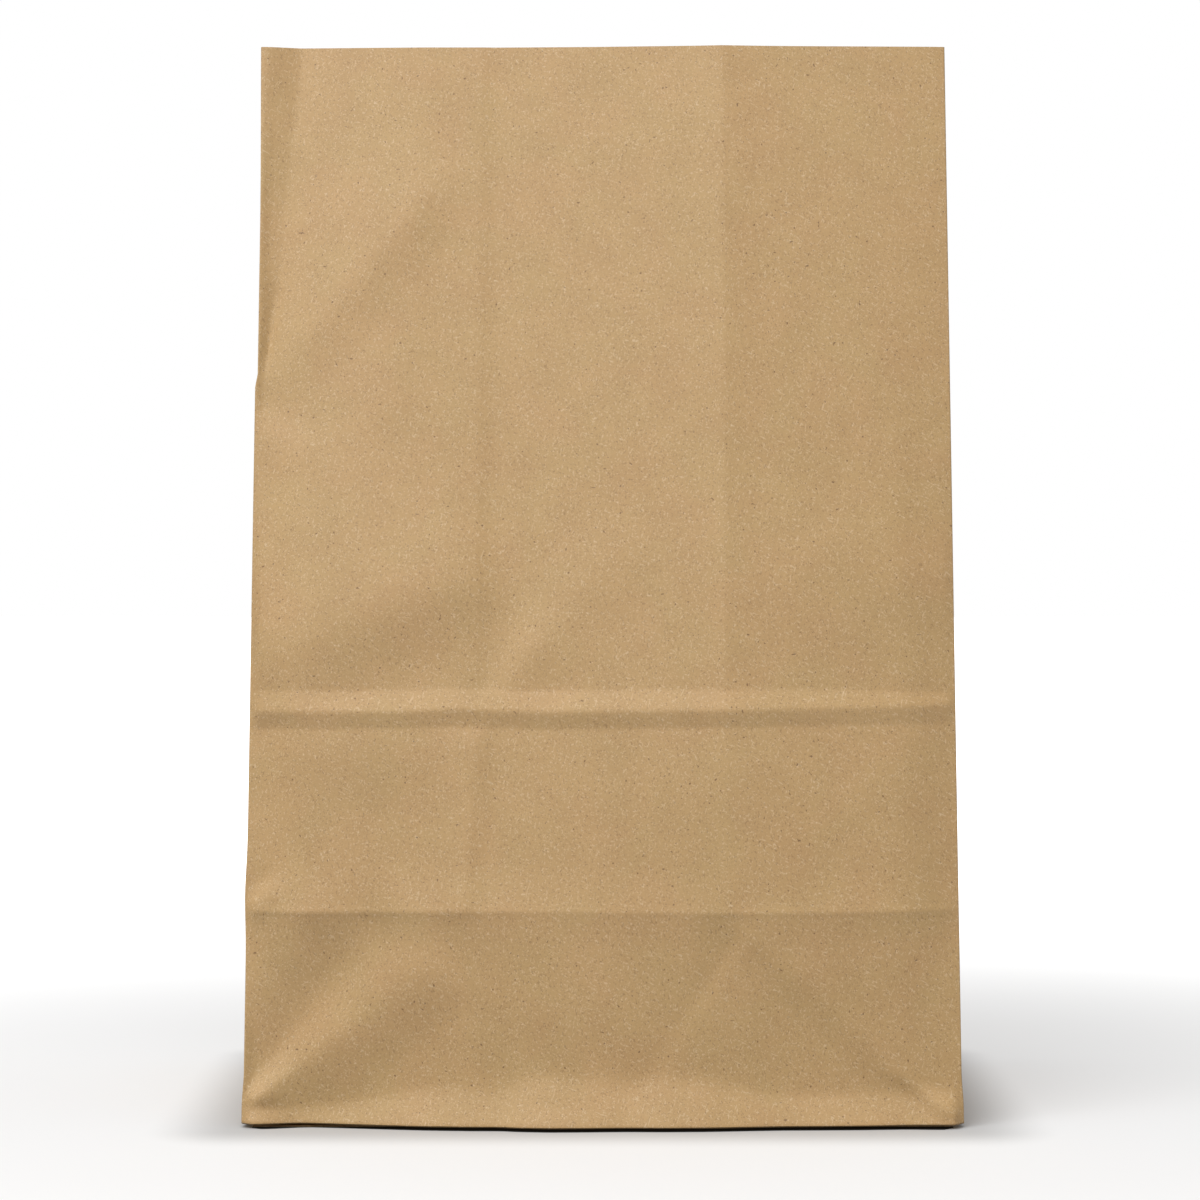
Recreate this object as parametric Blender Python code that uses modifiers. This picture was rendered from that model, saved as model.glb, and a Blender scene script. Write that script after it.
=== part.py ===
"""Brown kraft paper lunch bag, one folded and glued sheet that stands open on its floor.

Metres, +Z up. The origin is the middle of the floor's underside, the front panel faces -Y
and +X is to its right. The bag starts as an open box of single paper. Its walls are scored
at the fold lines, the folds are then made by moving the points of the sheet, and a Solidify
modifier gives the sheet its thickness.

A bag like this is stored flat, with its square floor turned up against the front panel, so
the sheet has these folds:
  - the four upright folds at the corners of the floor;
  - a centre fold down each side, which tucks the side in between the front and the back;
  - a triangle at the foot of each side, from the floor's corners to the end of that fold;
  - a crease across the front at the height of those triangles' tips, with a diagonal from it
    to each bottom corner;
  - an upright line on the front over each side's tucked-in centre fold;
  - a ridge across the front, over the edge of the turned-up floor.
"""

import math

import bmesh
import bpy

# Driving dimensions
BAG_WIDTH = 0.160
BAG_DEPTH = 0.104
BAG_HEIGHT = 0.247
MOUTH_DEPTH = 0.032
PAPER_THICKNESS = 0.00012

# The marks that folding flat left on the front panel: how far each stands out or sinks in
RIDGE_HEIGHT = 0.092
RIDGE_RISE = 0.0010
RIDGE_BELOW = 0.004
RIDGE_ABOVE = 0.006
CREASE_SINK = 0.0009
DIAGONAL_RISE = 0.0006
TUCK_LINE_RISE = 0.0004

# The floor's long edges bow out, and the bow dies away towards the mouth
BOTTOM_BOW = 0.0030

# Spacing of the rows above the ridge and between the creases
ROW_STEP = 0.0140
FOLD_CELLS = 4

PAPER_COLOUR = (0.545, 0.372, 0.197, 1.0)
PAPER_ROUGHNESS = 0.9

# Worked out from the driving dimensions
HALF_WIDTH = BAG_WIDTH / 2
HALF_DEPTH = BAG_DEPTH / 2
LEAN = (HALF_DEPTH - MOUTH_DEPTH / 2) / BAG_HEIGHT
TRIANGLE_HEIGHT = HALF_DEPTH / (1 + LEAN)
TUCK_LINE_X = HALF_WIDTH - HALF_DEPTH
ON_WALL = 1e-6


def clear_objects():
    """Remove whatever the scene holds."""
    for item in list(bpy.data.objects):
        bpy.data.objects.remove(item, do_unlink=True)


def tent(value, peak, below, above):
    """1 at the peak, falling straight to 0 at the given distances below and above it."""
    distance = value - peak
    reach = above if distance > 0 else below
    return max(0.0, 1.0 - abs(distance) / reach)


def panel_half_depth(height):
    """Distance from the middle of the bag to the front or back panel's side edges."""
    return HALF_DEPTH - LEAN * height


def tuck(height):
    """How far the centre fold of a side lies inside the corner folds.

    The paper doesn't stretch, so half a side keeps its width from the corner fold to the
    centre fold, and the closer the panels lean together, the deeper the side tucks in.
    """
    half_depth = panel_half_depth(max(height, TRIANGLE_HEIGHT))
    full = math.sqrt(HALF_DEPTH ** 2 - half_depth ** 2)
    return full * min(1.0, height / TRIANGLE_HEIGHT)


def bow(x, height):
    """Outward bow of the front or back panel, greatest in the middle of its bottom edge."""
    across = 1.0 - (x / HALF_WIDTH) ** 2
    upwards = (1.0 - height / BAG_HEIGHT) ** 2
    return BOTTOM_BOW * across * upwards


def front_marks(x, height):
    """Relief of the front panel, outward, from having been stored flat."""
    from_edge = HALF_WIDTH - abs(x)
    to_edge = min(1.0, from_edge / (HALF_DEPTH / FOLD_CELLS))
    ridge = RIDGE_RISE * tent(height, RIDGE_HEIGHT, RIDGE_BELOW, RIDGE_ABOVE)
    crease = -CREASE_SINK * tent(height, TRIANGLE_HEIGHT, TRIANGLE_HEIGHT, RIDGE_HEIGHT - TRIANGLE_HEIGHT)
    tuck_line = TUCK_LINE_RISE * tent(abs(x), TUCK_LINE_X, TUCK_LINE_X, HALF_DEPTH / FOLD_CELLS)
    marks = ridge + crease + tuck_line * min(1.0, height / TRIANGLE_HEIGHT)
    if height < TRIANGLE_HEIGHT:
        diagonal_height = from_edge / HALF_DEPTH * TRIANGLE_HEIGHT
        cell = TRIANGLE_HEIGHT / FOLD_CELLS
        marks += DIAGONAL_RISE * tent(height, diagonal_height, cell, cell) * min(1.0, height / cell)
    return marks * to_edge


def folded(point):
    """Where a point of the open box lies once the bag is folded and stands half open."""
    x, y, height = point
    if height < ON_WALL:
        return x, y * (1.0 + bow(x, 0.0) / HALF_DEPTH), 0.0
    if abs(x) > HALF_WIDTH - ON_WALL:
        from_corner = 1.0 - abs(y) / HALF_DEPTH
        inside = min(from_corner * tuck(max(height, TRIANGLE_HEIGHT)), tuck(height))
        return math.copysign(HALF_WIDTH - inside, x), y / HALF_DEPTH * panel_half_depth(height), height
    if y < 0:
        return x, -panel_half_depth(height) - bow(x, height) - front_marks(x, height), height
    return x, panel_half_depth(height) + bow(x, height), height


def row_heights():
    """Heights at which the sheet is scored across, with the crease and the ridge among them."""
    low = [TRIANGLE_HEIGHT * i / FOLD_CELLS for i in range(1, FOLD_CELLS + 1)]
    foot = RIDGE_HEIGHT - RIDGE_BELOW
    shoulder = RIDGE_HEIGHT + RIDGE_ABOVE
    middle_count = round((foot - TRIANGLE_HEIGHT) / ROW_STEP)
    middle = [TRIANGLE_HEIGHT + (foot - TRIANGLE_HEIGHT) * i / middle_count for i in range(1, middle_count)]
    high_count = round((BAG_HEIGHT - shoulder) / ROW_STEP)
    high = [shoulder + (BAG_HEIGHT - shoulder) * i / high_count for i in range(1, high_count)]
    return low + middle + [foot, RIDGE_HEIGHT, shoulder] + high


def half_columns(half_length, middle_x):
    """Distances from the middle line at which a panel is scored upright, 0 included."""
    step = HALF_DEPTH / FOLD_CELLS
    outer = [half_length - step * i for i in range(1, FOLD_CELLS + 1)]
    return outer + ([middle_x / 2, 0.0] if middle_x > ON_WALL else [])


def score(sheet, faces, place, normal):
    """Score the given faces along a plane."""
    edges = {edge for face in faces for edge in face.edges}
    corners = {corner for face in faces for corner in face.verts}
    geometry = list(corners) + list(edges) + list(faces)
    bmesh.ops.bisect_plane(sheet, geom=geometry, dist=1e-5, plane_co=place, plane_no=normal)


def open_box():
    """An open box of the bag's width, depth and height, its faces pointing out."""
    sheet = bmesh.new()
    bmesh.ops.create_cube(sheet, size=1.0)
    bmesh.ops.scale(sheet, vec=(BAG_WIDTH, BAG_DEPTH, BAG_HEIGHT), verts=sheet.verts)
    bmesh.ops.translate(sheet, vec=(0.0, 0.0, BAG_HEIGHT / 2), verts=sheet.verts)
    lid = [face for face in sheet.faces if face.normal.z > 0.5]
    bmesh.ops.delete(sheet, geom=lid, context="FACES_ONLY")
    return sheet


def score_grid(sheet):
    """Score the rows and columns of every wall and of the floor."""
    for height in row_heights():
        score(sheet, sheet.faces[:], (0.0, 0.0, height), (0.0, 0.0, 1.0))
    for offset in half_columns(HALF_WIDTH, TUCK_LINE_X):
        for side in ((-1, 1) if offset > ON_WALL else (1,)):
            score(sheet, sheet.faces[:], (side * offset, 0.0, 0.0), (1.0, 0.0, 0.0))
    for offset in half_columns(HALF_DEPTH, 0.0):
        for side in ((-1, 1) if offset > ON_WALL else (1,)):
            score(sheet, sheet.faces[:], (0.0, side * offset, 0.0), (0.0, 1.0, 0.0))


def score_diagonals(sheet):
    """Score the diagonals at the foot of the sides and of the front."""
    for side in (-1, 1):
        foot = [f for f in sheet.faces
                if f.calc_center_median().z < TRIANGLE_HEIGHT
                and abs(f.normal.x) > 0.5
                and f.calc_center_median().y * side > 0]
        score(sheet, foot, (0.0, side * HALF_DEPTH, 0.0), (0.0, side * TRIANGLE_HEIGHT, HALF_DEPTH))
    for side in (-1, 1):
        foot = [f for f in sheet.faces
                if f.calc_center_median().z < TRIANGLE_HEIGHT
                and f.normal.y < -0.5
                and HALF_WIDTH - side * f.calc_center_median().x < HALF_DEPTH]
        score(sheet, foot, (side * HALF_WIDTH, 0.0, 0.0), (side * TRIANGLE_HEIGHT, 0.0, HALF_DEPTH))


def kraft_paper():
    """Plain brown kraft paper, matt on both faces."""
    material = bpy.data.materials.new("kraft_paper")
    material.use_nodes = True
    shader = material.node_tree.nodes["Principled BSDF"]
    shader.inputs["Base Color"].default_value = PAPER_COLOUR
    shader.inputs["Roughness"].default_value = PAPER_ROUGHNESS
    shader.inputs["Metallic"].default_value = 0.0
    return material


def paper_bag(collection):
    """The whole bag: the scored and folded sheet, thickened inwards."""
    sheet = open_box()
    score_grid(sheet)
    score_diagonals(sheet)
    for corner in sheet.verts:
        corner.co = folded(corner.co)
    mesh = bpy.data.meshes.new("paper_bag")
    sheet.to_mesh(mesh)
    sheet.free()
    mesh.materials.append(kraft_paper())
    bag = bpy.data.objects.new("paper_bag", mesh)
    collection.objects.link(bag)
    thickness = bag.modifiers.new("paper thickness", "SOLIDIFY")
    thickness.thickness = PAPER_THICKNESS
    thickness.offset = -1.0
    thickness.use_even_offset = True
    return bag


def main():
    clear_objects()
    collection = bpy.data.collections.new("brown_paper_lunch_bag")
    bpy.context.scene.collection.children.link(collection)
    paper_bag(collection)


main()
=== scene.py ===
# %% [markdown]
# # A brown paper lunch bag
#
# The real thing is one sheet of kraft paper, folded into a tube with tucked sides and glued
# down its back, with one end folded over and glued into a square floor. It was stored flat,
# so it also carries the marks of that: a ridge and a crease across the front, diagonals in
# its bottom corners, and two upright lines where the tucked sides lay.
#
# Everything here is in metres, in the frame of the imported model. The bag stands on z = 0,
# its front panel faces -Y, and +X is to its right.

import math

import bpy
import numpy as np
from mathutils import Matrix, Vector
from mathutils import noise


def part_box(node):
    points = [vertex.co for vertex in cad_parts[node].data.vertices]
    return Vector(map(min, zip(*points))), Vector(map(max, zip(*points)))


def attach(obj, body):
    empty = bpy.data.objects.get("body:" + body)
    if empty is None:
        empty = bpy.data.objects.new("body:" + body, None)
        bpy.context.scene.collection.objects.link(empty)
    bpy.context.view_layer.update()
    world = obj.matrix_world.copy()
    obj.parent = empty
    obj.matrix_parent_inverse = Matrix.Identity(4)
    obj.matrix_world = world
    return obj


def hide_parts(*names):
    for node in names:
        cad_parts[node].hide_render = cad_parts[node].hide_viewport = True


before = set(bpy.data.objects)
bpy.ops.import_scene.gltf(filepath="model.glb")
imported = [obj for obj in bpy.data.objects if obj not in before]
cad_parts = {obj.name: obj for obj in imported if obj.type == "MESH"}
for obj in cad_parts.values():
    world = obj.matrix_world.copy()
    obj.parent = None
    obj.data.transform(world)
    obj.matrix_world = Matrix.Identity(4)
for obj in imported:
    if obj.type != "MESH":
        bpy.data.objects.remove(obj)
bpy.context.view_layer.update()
bag_low, bag_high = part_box("paper_bag")
MM = 0.001
WIDTH = bag_high[0] - bag_low[0]
HEIGHT = bag_high[2] - bag_low[2]
DEPTH = 104 * MM
MOUTH_DEPTH = 32 * MM
PAPER = 0.12 * MM
print("bag width, depth, height (mm):", [round(v / MM, 1) for v in (WIDTH, DEPTH, HEIGHT)])

# %% [markdown]
# ## How the sheet folds
#
# Half of a side panel keeps its width, from the corner fold to the centre fold, however the
# bag stands. So the closer the front and back lean together, the deeper the side tucks in,
# and one square root gives the whole side. Below the tip of the triangle at the foot of the
# side, the fold dies out towards the floor.

# %% The folding rule
HALF_WIDTH = WIDTH / 2
HALF_DEPTH = DEPTH / 2
LEAN = (HALF_DEPTH - MOUTH_DEPTH / 2) / HEIGHT
TRIANGLE = HALF_DEPTH / (1 + LEAN)
CORNER_ROUND = 0.4 * MM
FOOT_ROUND = 0.6 * MM
FLOOR_LAYERS = 2 * PAPER


def half_depth(z):
    """Middle of the bag to the plane of the front or back panel."""
    return HALF_DEPTH - LEAN * z


def tuck(z):
    """How far the side's centre fold lies inside the corner folds."""
    deep = np.sqrt(HALF_DEPTH ** 2 - half_depth(np.maximum(z, TRIANGLE)) ** 2)
    return deep * np.minimum(1.0, z / TRIANGLE)


def rounded(distance, radius):
    """How far a rounded fold falls back, at a distance from its edge."""
    t = np.clip(1.0 - distance / radius, 0.0, 1.0)
    return radius * (1.0 - np.sqrt(1.0 - t * t))


print("tuck at the mouth (mm):", round(float(tuck(np.array(HEIGHT))) / MM, 1))

# %% [markdown]
# ## Creases, steps and buckles
#
# Every mark on the paper is one of three things. A crease is a line where the sheet peaks or
# sinks and eases back to flat on both sides. A step is a band where one region stands in
# front of its neighbour. A swell is a soft round rise or dent. Each takes listed points
# in millimetres from the middle of the bag and from the floor, and returns a relief in
# millimetres, positive towards the viewer of that panel.


# %% The three kinds of mark
def ease(t):
    """0 to 1 with flat ends."""
    t = np.clip(t, 0.0, 1.0)
    return t * t * (3.0 - 2.0 * t)


def from_line(x, z, points):
    """Signed distance to a line of points, positive on its left, and how far along it is."""
    best = np.full(x.shape, 1e9)
    signed = np.zeros(x.shape)
    along = np.zeros(x.shape)
    walked = 0.0
    for (ax, az), (bx, bz) in zip(points, points[1:]):
        dx, dz = bx - ax, bz - az
        length = math.hypot(dx, dz)
        t = ((x - ax) * dx + (z - az) * dz) / length
        side = ((z - az) * dx - (x - ax) * dz) / length
        beyond = np.maximum(np.maximum(-t, t - length), 0.0)
        near = np.hypot(side, beyond)
        closer = near < best
        best = np.where(closer, near, best)
        signed = np.where(closer, side, signed)
        along = np.where(closer, t + walked, along)
        walked += length
    return signed, along, walked


def crease(x, z, points, rise, left, right, fade=8.0, hollow=2.0, soft=0.0):
    """A folded line that peaks by rise. A hollow of 1 gives flat facets on both sides."""
    side, along, length = from_line(x, z, points)
    away = np.sqrt(side * side + soft * soft) - soft
    across = np.clip(1.0 - away / np.where(side > 0, left, right), 0.0, 1.0) ** hollow
    ends = ease((along + fade / 2) / fade) * ease((length + fade / 2 - along) / fade)
    return rise * across * ends


def step(x, z, points, rise, width, end_width, reach, fade=10.0):
    """A band, widening along the line, where the sheet to its right stands out by rise."""
    side, along, length = from_line(x, z, points)
    band = width + (end_width - width) * np.clip(along / length, 0.0, 1.0)
    up = ease(0.5 - side / band)
    away = np.clip(1.0 - (np.abs(side) - band / 2) / reach, 0.0, 1.0)
    ends = ease((along + fade / 2) / fade) * ease((length + fade / 2 - along) / fade)
    return rise * (up - 0.5) * ease(away) * ends


def swell(x, z, centre, size, rise, turn=0.0):
    """A soft rise or dent, size across and up, turned by some degrees."""
    c, s = math.cos(math.radians(turn)), math.sin(math.radians(turn))
    u = (x - centre[0]) * c + (z - centre[1]) * s
    v = (z - centre[1]) * c - (x - centre[0]) * s
    return rise * np.exp(-(u / size[0]) ** 2 - (v / size[1]) ** 2)


def buckle(x, z, seed, size, rise):
    """Slight unevenness of a sheet that has been handled."""
    return np.array([
        rise * noise.noise(Vector((a / size, b / size, seed))) for a, b in zip(x.ravel(), z.ravel())
    ]).reshape(x.shape)


spot = np.zeros(1)
on_its_line = crease(spot, spot, [(-9, 0), (9, 0)], 1.0, 5.0, 5.0)
print("a 1 mm crease, on its line (mm):", float(on_its_line[0]))

# %% [markdown]
# ## The front panel's marks
#
# The light comes from above and from the left, so whatever faces that way is pale. The ridge
# is pale above and dark below. Under the crease the panel stands almost upright and is
# darker, and its last centimetre flares out to the floor's edge and is pale again.

# %% The front panel
RIDGE = 92.2
CREASE = 47.7
RIDGE_LINE = [(-84, 92.1), (-45, 92.2), (-34, 92.7), (-16, 92.1),
              (15, 92.4), (35, 92.6), (56, 93.0), (84, 93.5)]
CREASE_LINE = [(-84, 47.4), (-20, 47.9), (30, 47.5), (84, 47.9)]
VALLEY_LINE = [(-70.0, 252), (-71.9, 230), (-73.9, 209), (-75.4, 184),
               (-77.1, 177), (-79.3, 171), (-84, 162)]
DIAGONAL_RIDGE = [(-84, 160), (-70, 177), (-57, 190), (-48, 202), (-39, 214)]
FLARE_X = [-80, -66, -56, -47, -40, -30, -23, -19, -12, -4, 5, 14, 23, 31, 40, 49, 66, 80]
FLARE_TOP = [3.2, 3.9, 5.4, 7.1, 8.7, 8.7, 7.6, 10.4, 12.2,
             10.9, 9.6, 11.0, 10.5, 8.7, 7.0, 7.4, 7.9, 7.4]


def front_relief(x, z):
    """All the marks on the front, in millimetres, at x and z in millimetres."""
    across = 1.0 - (x / 80.0) ** 2
    inner = ease((80.0 - np.abs(x)) / 14.0)
    # the long slope above the crease, the upright strip under it, and the flare at the floor
    total = np.interp(z, [0, CREASE, RIDGE, 247], [-2.4, 2.3, 1.6, 0.0]) * inner
    under_crease = np.clip(1.0 - z / CREASE, 0.0, 1.0)
    total += np.interp(x, [-60, -20, 20, 60], [-1.0, 0.0, 0.0, 0.7]) * under_crease * inner
    flare_top = np.interp(x, FLARE_X, FLARE_TOP)
    soft = np.interp(x, [-80, -55, -20, 25, 45], [0.4, 0.7, 1.2, 1.1, 0.6])
    flare = 0.30 * soft * np.logaddexp(0.0, (flare_top - z) / soft)
    total += flare * ease((82.0 - np.abs(x)) / 4.0)
    total += swell(x, z, (-11, 4.5), (5.0, 2.2), -0.25)
    total += 5.0 * across * (1.0 - z / 247.0) ** 2
    # the thirds between the lines over the tucked sides' centre folds
    total += np.interp(x, [-80, -28, 28, 80], [0.0, 0.2, 3.2, 0.0]) * ease((z - 30.0) / 60.0)
    # the left third, a little fuller from the ridge upwards
    fuller = np.interp(z, [CREASE, RIDGE, 150.0, 247.0], [0.0, 1.0, 1.0, 0.0])
    total += ease((-20.0 - x) / 40.0) * fuller * inner
    # the ridge over the edge of the turned-up floor, and the crease under it
    thin = 1.0 - 0.30 * ease((x - 20.0) / 60.0)
    above = np.interp(x, [-80, 10, 50, 80], [4.3, 4.5, 4.0, 2.6])
    total += crease(x, z, RIDGE_LINE, 0.95, above, 3.55, hollow=1.0, soft=0.35) * thin
    crisp = 0.5 + 0.5 * np.abs(x / 80.0)
    total += crease(x, z, CREASE_LINE, 0.42, 8.0, 7.5, hollow=1.3) * crisp
    total += crease(x, z, CREASE_LINE, 0.09, 1.5, 1.0, hollow=1.0) * crisp
    # upright lines over the tucked sides' centre folds
    total += crease(x, z, [(-28.5, 98), (-28.0, 250)], 0.42, 14.0, 4.5, hollow=1.6, fade=20.0)
    total += crease(x, z, [(-31.0, 48), (-28.3, 88)], 0.62, 9.0, 4.0, hollow=1.0, soft=0.5)
    total += crease(x, z, [(27.5, 96), (27.5, 250)], 0.26, 6.0, 9.0, hollow=1.3)
    # left bottom corner: a pale ray along the diagonal
    total += step(x, z, [(-82, 3.5), (-43, 42.5)], 2.3, 3.5, 17.0, 14.0)
    # right bottom corner: the diagonal, its crumpled end, and the faint line past its tip
    total += crease(x, z, [(31, 44), (77, 2)], 0.7, 13.0, 6.0, hollow=1.5)
    total += crease(x, z, [(64, 13), (76.0, 2.5)], 0.38, 3.0, 1.8, fade=4.0, hollow=1.0)
    total += crease(x, z, [(72, 8), (79, 1.5)], 0.35, 2.0, 1.5, fade=4.0, hollow=1.0)
    total += crease(x, z, [(31, 44), (9, 10)], -0.36, 3.4, 10.0, hollow=1.3)
    # unevenness of the upright strip, and of the strip between the crease and the ridge
    total += swell(x, z, (-14, 31), (12, 13), 0.45)
    total += swell(x, z, (50, 35), (16, 9), 0.25)
    total += crease(x, z, [(-86, 47.6), (-20, 47.9)], 0.40, 11.0, 16.0, fade=14.0, hollow=1.2)
    total += swell(x, z, (-56, 84), (20, 10), 0.8)
    # upper left: a crease down to the side edge, and the soft diagonal ridge under it
    total += crease(x, z, VALLEY_LINE, -1.9, 30.0, 7.5, hollow=1.0)
    total += crease(x, z, [(-75.4, 190), (-77.4, 177), (-79.4, 170)], -0.7, 1.4, 2.7,
                    fade=5.0, hollow=1.0)
    total += crease(x, z, DIAGONAL_RIDGE, 1.1, 24.0, 11.0, fade=22.0, hollow=1.4, soft=1.0)
    # above the ridge: a soft fold on the left, a pale ray in the middle, a swell on the right
    total += crease(x, z, [(-82, 103), (-55, 113.5), (-27, 124.5)], 2.1, 32.0, 12.0,
                    fade=18.0, hollow=1.3, soft=5.0)
    total += crease(x, z, [(-25.0, 95), (-12.5, 110.5)], 0.45, 3.1, 10.0,
                    fade=4.0, hollow=1.0, soft=0.3)
    total += crease(x, z, [(-21, 100), (-12, 110), (5, 131)], 0.50, 10.0, 12.0,
                    fade=16.0, hollow=1.2, soft=1.0)
    total += swell(x, z, (58, 122), (30, 16), 0.8)
    # the left edge at the crease, the left bottom corner, and the sheet's buckles
    total += step(x, z, [(-84, 45), (-74, 54.5)], 1.2, 2.0, 2.6, 5.0, fade=4.0)
    total += crease(x, z, [(-83, 4.6), (-72, 3.6)], -0.55, 2.6, 3.0, fade=6.0, hollow=1.0)
    total += buckle(x, z, 3.7, 46.0, 0.5) * inner
    total += buckle(x, z, 9.1, 17.0, 0.12)
    return total


def back_relief(x, z):
    """The back is plainer: it lay flat against the floor's underside all the way down."""
    across = 1.0 - (x / 80.0) ** 2
    total = 3.0 * across * (1.0 - z / 247.0) ** 2
    total += crease(x, z, [(-28.0, 40), (-28.3, 250)], 0.45, 9.0, 4.0, hollow=1.2)
    total += crease(x, z, [(28.0, 44), (28.3, 250)], 0.45, 4.0, 9.0, hollow=1.2)
    total += crease(x, z, [(-84, 51.0), (84, 51.6)], 0.55, 9.0, 6.0, hollow=1.2)
    total += buckle(x, z, 21.3, 50.0, 0.7) * ease((78.0 - np.abs(x)) / 30.0)
    total += buckle(x, z, 27.9, 19.0, 0.12)
    return total


def side_relief(from_corner, z, seed):
    """A tucked side's own buckles, none at its corner folds and its centre fold."""
    free = np.sin(math.pi * np.clip(from_corner, 0.0, 1.0))
    along = from_corner * 52.0
    soft = buckle(along, z, seed, 30.0, 1.0)
    line = crease(along, z, [(0, 93), (52, 90)], 0.5, 6.0, 6.0)
    return (soft + line) * free


for height in (0.0, CREASE, RIDGE):
    middle = front_relief(spot, spot + height)
    print("front relief", height, "mm up the middle (mm):", round(float(middle[0]), 2))

# %% [markdown]
# ## Where each panel lies
#
# These functions turn a place on a panel into a point in space. The panels share their edges
# exactly, so that they can be welded into one sheet.


# %% Panels in space
def panel_y(x, z, relief):
    """Distance of the front or back panel from the middle of the bag."""
    marks = relief(x / MM, z / MM) * MM
    marks = marks * ease((HALF_WIDTH - np.abs(x)) / (2.2 * MM))
    away = half_depth(z) + marks
    away = away - rounded(HALF_WIDTH - np.abs(x), CORNER_ROUND)
    return away - rounded(z - FLOOR_LAYERS, FOOT_ROUND)


def side_x(part, z, seed):
    """Distance of a side from the middle; part runs from -1 at the front to 1 at the back."""
    from_corner = 1.0 - np.abs(part)
    inside = np.minimum(from_corner * tuck(np.maximum(z, TRIANGLE)), tuck(z))
    marks = side_relief(from_corner, z / MM, seed) * MM
    marks = marks * ease((z - FLOOR_LAYERS) / (6 * MM))
    return HALF_WIDTH - inside + marks


def edge_y(z):
    """Where the corner folds run, seen from the side."""
    return half_depth(z) - CORNER_ROUND - rounded(z - FLOOR_LAYERS, FOOT_ROUND)


def nudge(x, z, forward):
    """How far the front corner folds stray in x. Forward is 1 at the front, 0 halfway back."""
    up = z / MM
    stray = 0.35 * ease((12.0 - up) / 8.0)
    bulge = 0.4 * np.exp(-(((up - 51.0) / 8.0) ** 2))
    dent = 0.55 * ease((up - 166.5) / 3.0) * ease((262.0 - up) / 60.0)
    outwards = np.where(x < 0, -(stray + bulge - dent), stray) * MM
    return outwards * (np.abs(x) / HALF_WIDTH) ** 8 * np.maximum(0.0, forward) ** 4


def settled(z, across, along):
    """Height of a point: corners a little off the floor, and the mouth cut a hair short."""
    corner = (0.40 + 0.20 * (across * along) ** 4) * np.maximum(across, along) ** 16
    short = (0.65 - 0.30 * across) * ease((z / MM - 200.0) / 47.0)
    return z + (corner * (1.0 - ease(z / (15 * MM))) - short) * MM


mouth = panel_y(spot, spot + HEIGHT, front_relief)
print("front panel to the middle, at the mouth (mm):", round(float(mouth[0]) / MM, 1))

# %% [markdown]
# ## Rows and columns
#
# A crease only looks like one if the mesh has points enough across it. The rows are close
# together at the floor's edge, under the crease and at the ridge, and wider elsewhere. The
# last columns before a corner fold are a fraction of a millimetre apart, to round it.


# %% Spacing
def spaced(stops):
    """Places from one stop to the next, each stop being a place and the step that leads to it."""
    places = [stops[0][0]]
    for place, gap in stops[1:]:
        count = max(1, round((place - places[-1]) / gap))
        places += list(np.linspace(places[-1], place, count + 1)[1:])
    return np.array(places) * MM


rows = spaced([(0.24, 0), (1.5, 0.3), (14.0, 0.8), (44.5, 1.4), (50.5, 0.5),
               (87.0, 2.2), (98.0, 0.55), (247.0, 3.1)])
rows[-1] = HEIGHT
half_columns = spaced([(0, 0), (24.0, 1.9), (33.0, 0.75), (66.0, 1.9),
                       (79.6, 0.95), (80.0, 0.1)])
columns = np.concatenate([-half_columns[:0:-1], half_columns])
columns[0], columns[-1] = -HALF_WIDTH, HALF_WIDTH
parts = np.linspace(-1.0, 1.0, 27)
print("rows, columns, side columns:", len(rows), len(columns), len(parts))

# %% [markdown]
# ## Making the sheet
#
# Each panel starts as a grid primitive with the right number of squares. Its points are
# moved to their folded places, the five panels are joined, and the doubled points along the
# folds are merged. Solidify then gives the paper its thickness, inwards.


# %% One panel
def deselect():
    bpy.ops.object.select_all(action="DESELECT")


def panel(name, across, up, place):
    """A grid whose points are placed by a function of its two directions."""
    deselect()
    bpy.ops.mesh.primitive_grid_add(
        x_subdivisions=len(across) - 1, y_subdivisions=len(up) - 1, size=1.0)
    piece = bpy.context.object
    piece.name = name
    flat = np.empty(len(piece.data.vertices) * 3)
    piece.data.vertices.foreach_get("co", flat)
    flat = flat.reshape(-1, 3)
    i = np.rint((flat[:, 0] + 0.5) * (len(across) - 1)).astype(int)
    j = np.rint((flat[:, 1] + 0.5) * (len(up) - 1)).astype(int)
    x, y, z = place(across[i], up[j])
    piece.data.vertices.foreach_set("co", np.stack([x, y, z], 1).ravel())
    piece.data.update()
    return piece


def front_panel(x, z):
    across = np.abs(x) / HALF_WIDTH
    return x + nudge(x, z, 1.0), -panel_y(x, z, front_relief), settled(z, across, 1.0)


def back_panel(x, z):
    return -x, panel_y(-x, z, back_relief), settled(z, np.abs(x) / HALF_WIDTH, 1.0)


def right_panel(part, z):
    corner = np.full(part.shape, HALF_WIDTH)
    x = side_x(part, z, 41.0) + nudge(corner, z, -part)
    return x, part * edge_y(z), settled(z, 1.0, np.abs(part))


def left_panel(part, z):
    corner = np.full(part.shape, -HALF_WIDTH)
    x = nudge(corner, z, part) - side_x(part, z, 57.0)
    return x, -part * edge_y(z), settled(z, 1.0, np.abs(part))


def floor_panel(x, v):
    low = np.full(x.shape, FLOOR_LAYERS)
    front = -panel_y(x, low, front_relief)
    back = panel_y(x, low, back_relief)
    forward = 2.0 * v - 1.0
    y = back + (front - back) * v
    z = settled(low, np.abs(x) / HALF_WIDTH, np.abs(forward))
    return x + nudge(x, low, forward), y, z


bag_panels = [
    panel("paper_bag_sheet", columns, rows, front_panel),
    panel("back", columns, rows, back_panel),
    panel("right", parts, rows, right_panel),
    panel("left", parts, rows, left_panel),
    panel("floor", columns, (1 + parts) / 2, floor_panel),
]
print("panels:", [piece.name for piece in bag_panels])

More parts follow.
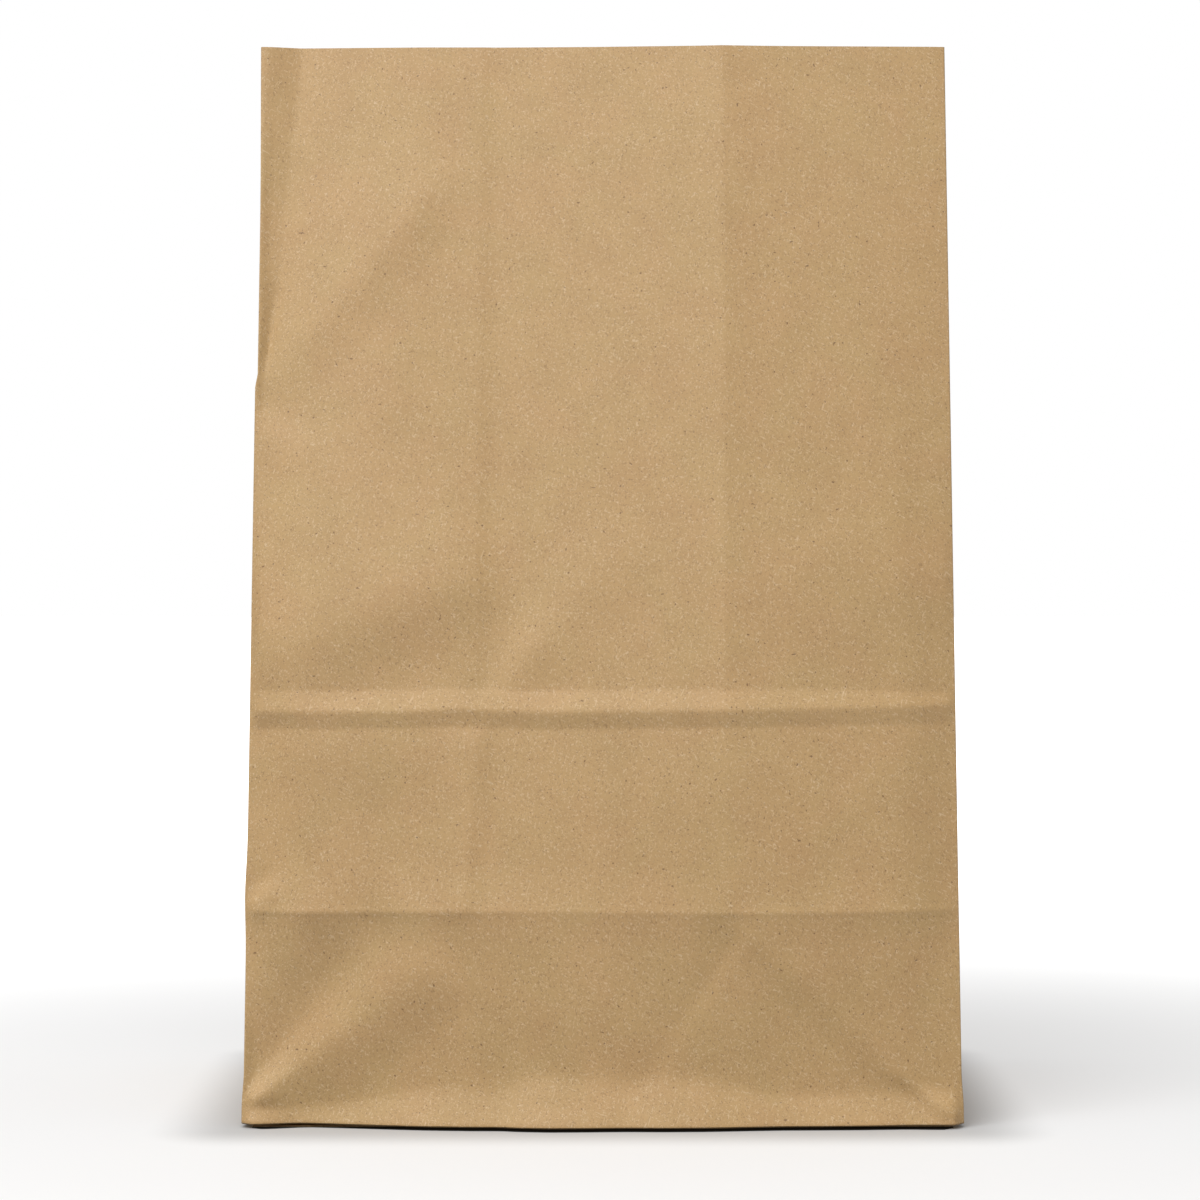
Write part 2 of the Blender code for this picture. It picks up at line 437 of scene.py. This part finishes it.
# %% One sheet
deselect()
for piece in bag_panels:
    piece.select_set(True)
bag = bag_panels[0]
bpy.context.view_layer.objects.active = bag
bpy.ops.object.join()
bpy.ops.object.mode_set(mode="EDIT")
bpy.ops.mesh.select_all(action="SELECT")
bpy.ops.mesh.remove_doubles(threshold=0.005 * MM)
bpy.ops.object.mode_set(mode="OBJECT")
open_edges = sum(1 for e in bag.data.edges if e.is_loose)
print("sheet faces:", len(bag.data.polygons), "loose edges:", open_edges)


def thicken(piece, thickness, offset):
    """Give a sheet its thickness and apply it."""
    deselect()
    piece.select_set(True)
    bpy.context.view_layer.objects.active = piece
    layer = piece.modifiers.new("paper", "SOLIDIFY")
    layer.thickness = thickness
    layer.offset = offset
    layer.use_even_offset = True
    bpy.ops.object.modifier_apply(modifier=layer.name)
    bpy.ops.object.shade_smooth_by_angle(angle=math.radians(38))


thicken(bag, PAPER, -1.0)

# %% [markdown]
# ## The glued end and the glued seam
#
# Underneath, the ends of the front and back are folded over and glued, one flap on the other,
# with slanted ends where they run in from the corners. Up the back runs the lap where the
# sheet was glued into a tube. Both are drawn as single layers of paper, and the lap's points
# are the back panel's own points moved out by one thickness, so the two never cross.


# %% Flaps and lap
def flap(name, facing, top):
    """A flap under the floor, at the front (facing -1) or the back (1), topped at a height."""
    deselect()
    bpy.ops.mesh.primitive_circle_add(vertices=6, radius=1.0, fill_type="NGON")
    piece = bpy.context.object
    piece.name = name
    outline = [(-78.0, 50.0), (-31.0, 3.0), (-31.0, -12.0),
               (31.0, -12.0), (31.0, 3.0), (78.0, 50.0)]
    if facing < 0:
        outline = [(-x, -y) for x, y in outline]
    for corner, (x, y) in zip(piece.data.vertices, outline):
        corner.co = (x * MM, y * MM, top - PAPER)
    bpy.ops.object.mode_set(mode="EDIT")
    bpy.ops.mesh.select_all(action="SELECT")
    bpy.ops.mesh.normals_make_consistent(inside=False)
    if piece.data.polygons[0].normal.z > 0:
        bpy.ops.mesh.flip_normals()
    bpy.ops.object.mode_set(mode="OBJECT")
    thicken(piece, PAPER, -1.0)
    return piece


def lap_panel(x, z):
    low = panel_y(-x, z, back_relief) + PAPER + 0.01 * MM
    return -x, low, settled(z, np.abs(x) / HALF_WIDTH, 1.0)


lap_columns = columns[(columns > -34 * MM) & (columns < -17 * MM)]
lap = panel("lap", lap_columns, rows[6:-1], lap_panel)
thicken(lap, PAPER, -1.0)
glued = [flap("back_flap", 1, PAPER), flap("front_flap", -1, 2 * PAPER), lap]
deselect()
for piece in glued + [bag]:
    piece.select_set(True)
bpy.context.view_layer.objects.active = bag
bpy.ops.object.join()
print("bag triangles:", sum(len(p.vertices) - 2 for p in bag.data.polygons))

# %% [markdown]
# ## Kraft paper
#
# Unbleached softwood pulp, pressed and dried on a smooth cylinder. To the eye it is a matt
# brown that clouds a little from place to place, crossed by short curled fibres, paler and
# darker than the ground, with a few dark specks of bark and pale flecks of shive.


# %% Colours and nodes
def hex_colour(code):
    """An sRGB hex value as linear red, green and blue."""
    parts_of = [int(code[i:i + 2], 16) / 255 for i in (1, 3, 5)]
    linear = [c / 12.92 if c <= 0.04045 else ((c + 0.055) / 1.055) ** 2.4 for c in parts_of]
    return (*linear, 1.0)


def add_node(tree, kind, settings=None, stops=None, **links):
    """A node with its settings and colour stops, and its inputs set to values or linked."""
    node = tree.nodes.new(kind)
    for key, value in (settings or {}).items():
        setattr(node, key, value)
    for place, colour in stops or []:
        stop = node.color_ramp.elements.new(place)
        stop.color = colour if isinstance(colour, tuple) else (colour, colour, colour, 1.0)
    if stops:
        node.color_ramp.elements.remove(node.color_ramp.elements[0])
        node.color_ramp.elements.remove(node.color_ramp.elements[-1])
    for key, value in links.items():
        socket = node.inputs[int(key[1:])] if key[1:].isdigit() else node.inputs[key]
        if isinstance(value, bpy.types.NodeSocket):
            tree.links.new(value, socket)
        else:
            socket.default_value = value
    return node


print("kraft brown as linear colour:", [round(c, 3) for c in hex_colour("#C7A16D")])

# %% The paper
def kraft_paper():
    material = bpy.data.materials.new("kraft_paper")
    material.use_nodes = True
    tree = material.node_tree
    shader = tree.nodes["Principled BSDF"]
    where = add_node(tree, "ShaderNodeTexCoord").outputs["Object"]

    # clouds of thicker and thinner pulp 8 mm across, a drift of tint over 15 mm, and a grain
    browns = [(0.32, hex_colour("#C7A16D")), (0.68, hex_colour("#CDA772"))]
    tints = [(0.35, hex_colour("#FDFFFD")), (0.65, hex_colour("#FFFDFD"))]
    cloud = add_node(tree, "ShaderNodeTexNoise", Vector=where, Scale=1 / (8 * MM), Detail=3.0)
    cloud_colour = add_node(tree, "ShaderNodeValToRGB", stops=browns, i0=cloud.outputs["Fac"])
    tint = add_node(tree, "ShaderNodeTexNoise", Vector=where, Scale=1 / (15 * MM), Detail=2.0,
                    Distortion=0.6)
    tint_colour = add_node(tree, "ShaderNodeValToRGB", stops=tints, i0=tint.outputs["Fac"])
    clouds = add_node(tree, "ShaderNodeMix", {"data_type": "RGBA", "blend_type": "MULTIPLY"},
                      i0=1.0, i6=cloud_colour.outputs["Color"], i7=tint_colour.outputs["Color"])
    grain = add_node(tree, "ShaderNodeTexNoise", Vector=where, Scale=1 / (0.55 * MM), Detail=2.0)
    grain_level = add_node(tree, "ShaderNodeValToRGB", stops=[(0.30, 0.945), (0.70, 1.0)],
                           i0=grain.outputs["Fac"])
    colour = add_node(tree, "ShaderNodeMix", {"data_type": "RGBA", "blend_type": "MULTIPLY"},
                      i0=1.0, i6=clouds.outputs[2], i7=grain_level.outputs["Color"]).outputs[2]

    # fibres lie every way: short flecks 0.3 by 1.5 mm, each group turned its own way
    pale, dark = (hex_colour("#E6CCA4"), 0.46), (hex_colour("#8A6438"), 0.35)
    fibres = [
        (pale, (0.3, 0.5, 0.2)), (pale, (1.2, 0.9, 1.7)), (pale, (0.2, 2.1, 0.9)),
        (dark, (0.8, 0.3, 2.3)), (dark, (0.4, 1.1, 0.6)),
    ]
    for (tone, strength), turn in fibres:
        placed = add_node(tree, "ShaderNodeMapping", {"vector_type": "TEXTURE"}, Vector=where,
                          Rotation=turn, Scale=(1.45 * MM, 0.30 * MM, 0.30 * MM))
        fleck = add_node(tree, "ShaderNodeTexNoise", Vector=placed.outputs["Vector"],
                         Scale=1.0, Detail=0.0)
        mask = add_node(tree, "ShaderNodeValToRGB", stops=[(0.70, 0.0), (0.75, strength)],
                        i0=fleck.outputs["Fac"])
        colour = add_node(tree, "ShaderNodeMix", {"data_type": "RGBA"},
                          i0=mask.outputs["Color"], i6=colour, i7=tone).outputs[2]

    # a few dark specks of bark
    speck = add_node(tree, "ShaderNodeTexNoise", Vector=where, Scale=1 / (0.62 * MM), Detail=0.0)
    speck_mask = add_node(tree, "ShaderNodeValToRGB", stops=[(0.795, 0.0), (0.85, 0.7)],
                          i0=speck.outputs["Fac"])
    colour = add_node(tree, "ShaderNodeMix", {"data_type": "RGBA"}, i0=speck_mask.outputs["Color"],
                      i6=colour, i7=hex_colour("#6B4724")).outputs[2]
    tree.links.new(colour, shader.inputs["Base Color"])

    # the felt side's slight tooth
    tooth = add_node(tree, "ShaderNodeTexNoise", Vector=where, Scale=1 / (0.6 * MM), Detail=3.0)
    bump = add_node(tree, "ShaderNodeBump", Strength=0.2, Distance=0.02 * MM,
                    Height=tooth.outputs["Fac"])
    tree.links.new(bump.outputs["Normal"], shader.inputs["Normal"])
    shader.inputs["Roughness"].default_value = 0.52
    shader.inputs["IOR"].default_value = 1.5
    shader.inputs["Specular IOR Level"].default_value = 0.5
    return material


paper = kraft_paper()
bag.data.materials.clear()
bag.data.materials.append(paper)
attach(bag, "root")
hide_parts("paper_bag")
print("paper nodes:", len(paper.node_tree.nodes))

# %% [markdown]
# ## Floor, light and camera
#
# None of this is part of the bag. The floor is white card that glows: not at all at the bag's foot,
# a painted shade there, and more further out, where it fades into a white backdrop. A dark card
# under the bag is painted shade where paper meets floor. One large lamp shines from the upper
# left. The camera looks straight at the front, a little under the bag's middle.

# %% Floor
def white_floor():
    """White card that glows: not at all at the bag's foot, a painted shade there, and more further
    out, painted light that fades it into the backdrop.
    """
    material = bpy.data.materials.new("white_studio_floor")
    material.use_nodes = True
    tree = material.node_tree
    shader = tree.nodes["Principled BSDF"]
    shader.inputs["Roughness"].default_value = 0.9
    where = add_node(tree, "ShaderNodeTexCoord").outputs["Object"]
    mirrored = add_node(tree, "ShaderNodeVectorMath", {"operation": "ABSOLUTE"}, i0=where).outputs[0]
    past = add_node(tree, "ShaderNodeVectorMath", {"operation": "SUBTRACT"}, i0=mirrored,
                    i1=(HALF_WIDTH, HALF_DEPTH + 4 * MM, 0.0)).outputs[0]
    outside = add_node(tree, "ShaderNodeVectorMath", {"operation": "MAXIMUM"},
                       i0=past, i1=(0.0, 0.0, 0.0)).outputs[0]
    away = add_node(tree, "ShaderNodeVectorMath", {"operation": "LENGTH"}, i0=outside).outputs["Value"]
    # painted shade and light: the glow is nothing at the bag's foot and rises over 22 mm, so the floor
    # round the bag is darker and the lamp's shadow further out is lifted
    near = add_node(tree, "ShaderNodeMapRange", {"interpolation_type": "SMOOTHSTEP"}, Value=away)
    near.inputs["From Max"].default_value = 22 * MM
    near.inputs["To Max"].default_value = 0.34
    far = add_node(tree, "ShaderNodeMapRange", {"interpolation_type": "SMOOTHSTEP"}, Value=away)
    far.inputs["From Min"].default_value = 0.05
    far.inputs["From Max"].default_value = 0.60
    painted_floor_light = add_node(tree, "ShaderNodeMath", {"operation": "ADD"}, i0=near.outputs["Result"],
                    i1=far.outputs["Result"])
    shader.inputs["Base Color"].default_value = hex_colour("#C4C4C4")
    shader.inputs["Emission Color"].default_value = (1.0, 1.0, 1.0, 1.0)
    tree.links.new(painted_floor_light.outputs[0], shader.inputs["Emission Strength"])
    return material


deselect()
bpy.ops.mesh.primitive_plane_add(size=40.0, location=(0.0, 0.0, -0.02 * MM))
ground_plane = bpy.context.object
ground_plane.name = "studio_floor"
ground_plane.data.materials.append(white_floor())
ground_plane.visible_diffuse = False
print("floor:", ground_plane.name)

# %% The dark under the bag
PAST_EDGE = 0.6 * MM


def shade_panel(x, v):
    """The outline of the bag's floor, a hair past its front and back edges, flat on the ground."""
    _, y, _ = floor_panel(x, v)
    return x * 0.975, y - (2.0 * v - 1.0) * PAST_EDGE, np.full(x.shape, -0.01 * MM)


shade = panel("contact_shade", columns, np.array([0.0, 1.0]), shade_panel)
dark_card = bpy.data.materials.new("contact_shade")
dark_card.use_nodes = True
card_shader = dark_card.node_tree.nodes["Principled BSDF"]
card_shader.inputs["Base Color"].default_value = hex_colour("#1A1A1A")
card_shader.inputs["Roughness"].default_value = 0.9
shade.data.materials.append(dark_card)
shade.visible_diffuse = False
print("shade width (mm):", round(shade.dimensions.x / MM, 1))


# %% Light
def softbox(name, azimuth, elevation, distance, size, power):
    """A square lamp that faces the bag. Azimuth 0 is over the camera, negative to its left."""
    light = bpy.data.lights.new(name, "AREA")
    light.size = size
    light.energy = power
    lamp = bpy.data.objects.new(name, light)
    bpy.context.scene.collection.objects.link(lamp)
    a, e = math.radians(azimuth), math.radians(elevation)
    source = Vector((math.sin(a) * math.cos(e), -math.cos(a) * math.cos(e), math.sin(e)))
    lamp.location = Vector((0.0, 0.0, HEIGHT / 2)) + source * distance
    lamp.rotation_euler = (-source).to_track_quat("-Z", "Y").to_euler()


softbox("key", -28.0, 52.0, 1.6, 1.6, 23.3)
world = bpy.context.scene.world or bpy.data.worlds.new("studio")
bpy.context.scene.world = world
world.use_nodes = True
backdrop = world.node_tree.nodes["Background"]
backdrop.inputs["Color"].default_value = (1.0, 1.0, 1.0, 1.0)
facing = add_node(world.node_tree, "ShaderNodeTexCoord").outputs["Generated"]
upwards = add_node(world.node_tree, "ShaderNodeSeparateXYZ", Vector=facing).outputs["Z"]
sky = add_node(world.node_tree, "ShaderNodeMapRange", Value=upwards)
sky.inputs["From Min"].default_value = -0.2
sky.inputs["From Max"].default_value = 0.3
sky.inputs["To Min"].default_value = 0.13
sky.inputs["To Max"].default_value = 0.55
seen = add_node(world.node_tree, "ShaderNodeLightPath").outputs["Is Camera Ray"]
level = add_node(world.node_tree, "ShaderNodeMix", i0=seen, i2=sky.outputs["Result"], i3=1.0)
world.node_tree.links.new(level.outputs[0], backdrop.inputs["Strength"])
bpy.context.scene.view_settings.view_transform = "Standard"
print("lamps:", len(bpy.data.lights))

# %% Camera
DISTANCE = 0.684
CAMERA_HEIGHT = 0.1173
FRAME_WIDTH = 0.26664
camera_data = bpy.data.cameras.new("camera")
camera = bpy.data.objects.new("camera", camera_data)
bpy.context.scene.collection.objects.link(camera)
camera.location = (-0.0006, -HALF_DEPTH - DISTANCE, CAMERA_HEIGHT)
camera.rotation_euler = (math.pi / 2, 0.0, 0.0)
camera_data.sensor_width = 36.0
camera_data.lens = camera_data.sensor_width * DISTANCE / FRAME_WIDTH
bpy.context.scene.camera = camera
print("lens (mm):", round(camera_data.lens, 1))
